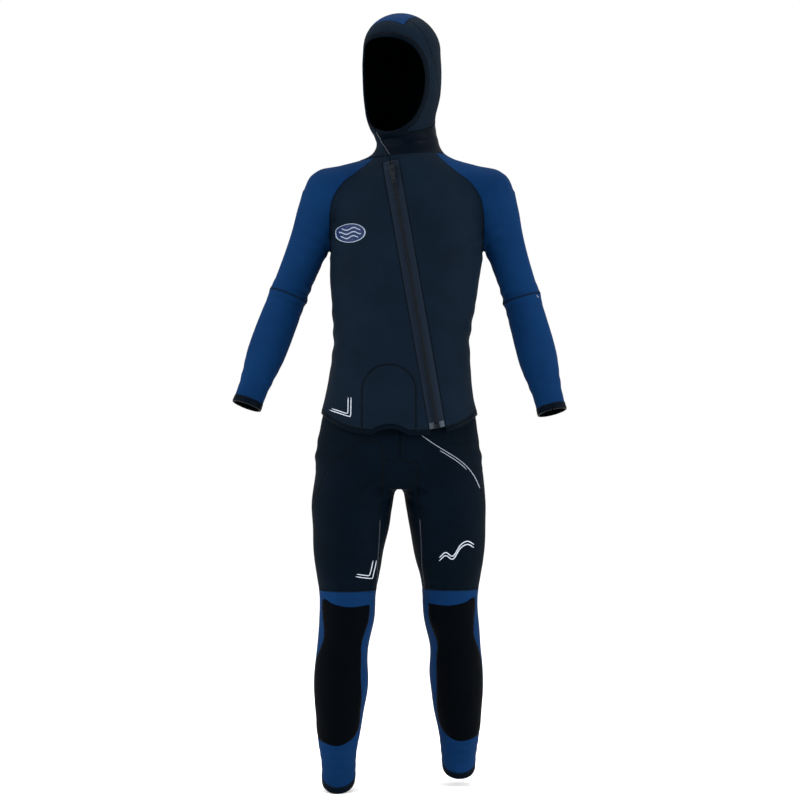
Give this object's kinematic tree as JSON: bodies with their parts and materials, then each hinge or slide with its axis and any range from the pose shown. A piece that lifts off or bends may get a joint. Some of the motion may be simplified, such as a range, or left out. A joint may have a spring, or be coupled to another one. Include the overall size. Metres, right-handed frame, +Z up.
{
  "type": "hooded two-piece diving wetsuit",
  "caption": "Hooded foam-rubber diving jacket with a diagonal front zip over high-waisted trousers with knee and shin pads, standing as if worn.",
  "frame": {"origin": "centre of the suit's footprint, level with the lowest ankle edge, where a floor under the wearer's ankles would be", "axes": "+Z up along the wearer, -Y the way the wearer's chest faces, +X the wearer's left"},
  "size_m": [0.7364, 0.2517, 1.7193],
  "materials": {
    "black_neoprene": "foam rubber sheet faced with dark navy-black knitted nylon, matt",
    "blue_neoprene": "foam rubber sheet faced with deep blue knitted nylon, matt",
    "smooth_skin_neoprene": "smooth-skin foam rubber, black, softly glossy",
    "knee_pad_rubber": "black moulded rubber pad with a fine embossed grain",
    "woven_zip_tape": "woven polyester tape, dark grey",
    "moulded_zip_plastic": "moulded acetal teeth, dark grey",
    "slider_metal": "nickel-plated zinc casting",
    "zip_end_reinforcement": "welded light grey plastic film over the tape's end",
    "light_grey_print": "heat-applied light grey film"
  },
  "bodies": {
    "trousers": {"waistband": "smooth_skin_neoprene", "seat_panel": "black_neoprene", "hip_panel_right": "black_neoprene", "hip_panel_left": "black_neoprene", "crotch_gusset": "black_neoprene", "thigh_panel_right": "black_neoprene", "thigh_panel_left": "black_neoprene", "lower_leg_right": "blue_neoprene", "lower_leg_left": "blue_neoprene", "knee_shin_pad_right": "knee_pad_rubber", "knee_shin_pad_left": "knee_pad_rubber", "ankle_binding_right": "smooth_skin_neoprene", "ankle_binding_left": "smooth_skin_neoprene", "hip_piping_left": "light_grey_print", "thigh_print_left": "light_grey_print", "thigh_chevron_right": "light_grey_print"},
    "jacket": {"chest_panel_right": "black_neoprene", "chest_panel_left": "black_neoprene", "belly_panel": "black_neoprene", "back_panel": "black_neoprene", "jacket_hem_band": "black_neoprene", "sleeve_upper_right": "blue_neoprene", "sleeve_upper_left": "blue_neoprene", "sleeve_forearm_right": "blue_neoprene", "sleeve_forearm_left": "blue_neoprene", "cuff_right": "smooth_skin_neoprene", "cuff_left": "smooth_skin_neoprene", "collar": "black_neoprene", "collar_bib": "smooth_skin_neoprene", "hood_face_panel": "black_neoprene", "face_seal": "smooth_skin_neoprene", "hood_crown": "blue_neoprene", "hood_side_right": "black_neoprene", "hood_side_left": "black_neoprene", "zip_tape_right": "woven_zip_tape", "zip_tape_left": "woven_zip_tape", "zip_teeth_right": "moulded_zip_plastic", "zip_teeth_left": "moulded_zip_plastic", "zip_top_stop_right": "slider_metal", "zip_top_stop_left": "slider_metal", "zip_end_tab_right": "zip_end_reinforcement", "zip_end_tab_left": "zip_end_reinforcement", "zip_retainer_box": "moulded_zip_plastic", "zip_insertion_pin": "moulded_zip_plastic", "zip_underlap": "smooth_skin_neoprene", "jacket_chevron_right": "light_grey_print", "chest_badge": "light_grey_print"},
    "zip_slider": {"zip_slider": "slider_metal"},
    "zip_pull": {"zip_pull": "slider_metal"}
  },
  "joints": [
    {"name": "jacket_lift", "type": "slide", "parent": "trousers", "child": "jacket", "axis": [0, 0, 1], "range_m": [0, 0.35]},
    {"name": "zip_slider_run", "type": "hinge", "parent": "jacket", "child": "zip_slider", "pos_m": [0.04294, 1.77669, 1.01835], "axis": [0.9849, 0, 0.173], "range_deg": [0, 16.4]},
    {"name": "zip_pull_swing", "type": "hinge", "parent": "zip_slider", "child": "zip_pull", "pos_m": [-0.01827, -0.09644, 1.36676], "axis": [-0.9849, 0, -0.173], "range_deg": [0, 150]}
  ]
}
